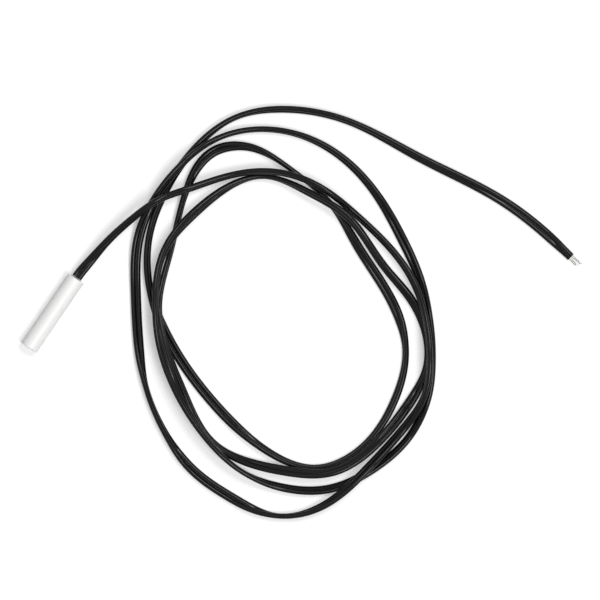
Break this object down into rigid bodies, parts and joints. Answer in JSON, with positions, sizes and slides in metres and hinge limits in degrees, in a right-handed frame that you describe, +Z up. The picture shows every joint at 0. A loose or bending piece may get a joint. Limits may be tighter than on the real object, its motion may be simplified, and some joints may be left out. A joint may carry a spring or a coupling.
{
  "type": "thermistor probe",
  "caption": "Temperature probe: a closed white plastic sleeve with a potted thermistor bead, on a long black flat twin cable that lies in loose turns and ends in bare tinned wires.",
  "frame": {"origin": "bottom centre of the sleeve with its resin bulge, where it lies on the table", "axes": "+X along the sleeve from its closed tip to its mouth, +Z up from the table"},
  "size_m": [0.1319, 0.1351, 0.0105],
  "materials": {
    "sleeve": "matt moulded plastic",
    "resin": "cast, slightly glossy",
    "bead_coating": "dipped, glossy",
    "lead_wire": "tinned wire, bright",
    "solder": "solder, bright",
    "tubing": "shrunk tubing, satin",
    "conductor": "tinned strands",
    "cable_jacket": "flexible black insulation, slightly glossy"
  },
  "bodies": {
    "root": {"probe_sleeve": "sleeve", "potting_resin": "resin", "thermistor_bead": "bead_coating", "bead_lead_a": "lead_wire", "bead_lead_b": "lead_wire", "solder_joint_a": "solder", "solder_joint_b": "solder", "joint_tubing_a": "tubing", "joint_tubing_b": "tubing", "core_end_a": "conductor", "core_end_b": "conductor", "cable": "cable_jacket", "tinned_end_a": "conductor", "tinned_end_b": "conductor"}
  },
  "joints": []
}
